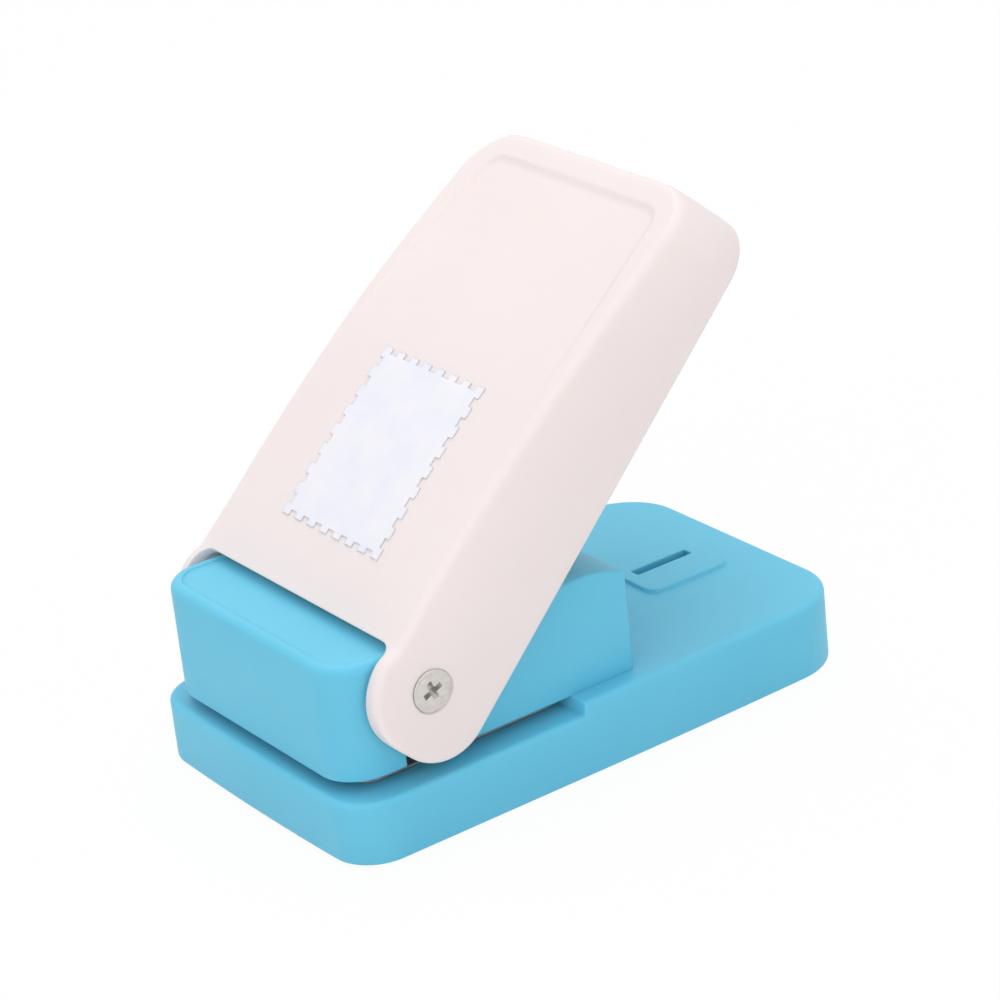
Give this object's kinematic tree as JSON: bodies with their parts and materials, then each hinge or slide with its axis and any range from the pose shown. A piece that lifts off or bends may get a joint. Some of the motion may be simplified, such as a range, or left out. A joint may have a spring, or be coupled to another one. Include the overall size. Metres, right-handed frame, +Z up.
{
  "type": "craft punch",
  "caption": "Hand lever punch that cuts a paper stamp with notched edges, with a raised handle, a paper mouth and a chute under the base.",
  "frame": {"origin": "middle of the footprint, on the surface that the rubber feet stand on", "axes": "+Y from the paper mouth to the handle's free end, +X to the right side, +Z up; the handle's pivot runs along X"},
  "size_m": [0.056, 0.0918, 0.0805],
  "materials": {
    "blue_plastic": "satin sky blue",
    "pink_plastic": "satin pale pink",
    "label_film": "silver white film",
    "ground_steel": "ground",
    "screw_steel": "brushed",
    "spring_steel": "drawn wire",
    "nylon": "natural white",
    "foot_rubber": "matte dark"
  },
  "bodies": {
    "base": {"base_shell": "blue_plastic", "bottom_cover": "blue_plastic", "upper_housing": "blue_plastic", "die_plate": "ground_steel", "guide_frame": "ground_steel", "cover_screw_front_left": "screw_steel", "cover_screw_front_right": "screw_steel", "cover_screw_rear_left": "screw_steel", "cover_screw_rear_right": "screw_steel", "rubber_foot_front_left": "foot_rubber", "rubber_foot_front_right": "foot_rubber", "rubber_foot_rear_left": "foot_rubber", "rubber_foot_rear_right": "foot_rubber", "die_screw_front_left": "screw_steel", "die_screw_front_right": "screw_steel", "die_screw_rear_left": "screw_steel", "die_screw_rear_right": "screw_steel", "housing_screw_left": "screw_steel", "housing_screw_right": "screw_steel", "guide_screw_left": "screw_steel", "guide_screw_right": "screw_steel", "guide_pin_left": "ground_steel", "guide_pin_right": "ground_steel", "return_spring_left": "spring_steel", "return_spring_right": "spring_steel", "pivot_collar_left": "nylon", "pivot_collar_right": "nylon"},
    "handle": {"handle_shell": "pink_plastic", "stamp_label": "label_film", "pivot_shaft": "ground_steel", "pivot_screw_left": "screw_steel", "pivot_screw_right": "screw_steel"},
    "punch": {"punch_blade": "ground_steel", "punch_holder": "nylon", "press_pad": "screw_steel", "punch_screw_front_left": "screw_steel", "punch_screw_front_right": "screw_steel", "punch_screw_rear_left": "screw_steel", "punch_screw_rear_right": "screw_steel"}
  },
  "joints": [
    {"name": "handle_pivot", "type": "hinge", "parent": "base", "child": "handle", "pos_m": [0, -0.0307, 0.0242], "axis": [1, 0, 0], "range_deg": [-44, 0], "stiffness_Nm_per_rad": 0.25, "springref_deg": 18.33},
    {"name": "punch_slide", "type": "slide", "parent": "base", "child": "punch", "axis": [0, 0, 1], "range_m": [-0.00361, 0], "deforming": ["return_spring_left", "return_spring_right"]}
  ],
  "couplings": [
    {"joint": "punch_slide", "follows": "handle_pivot", "m_per_rad": 0.0047}
  ]
}
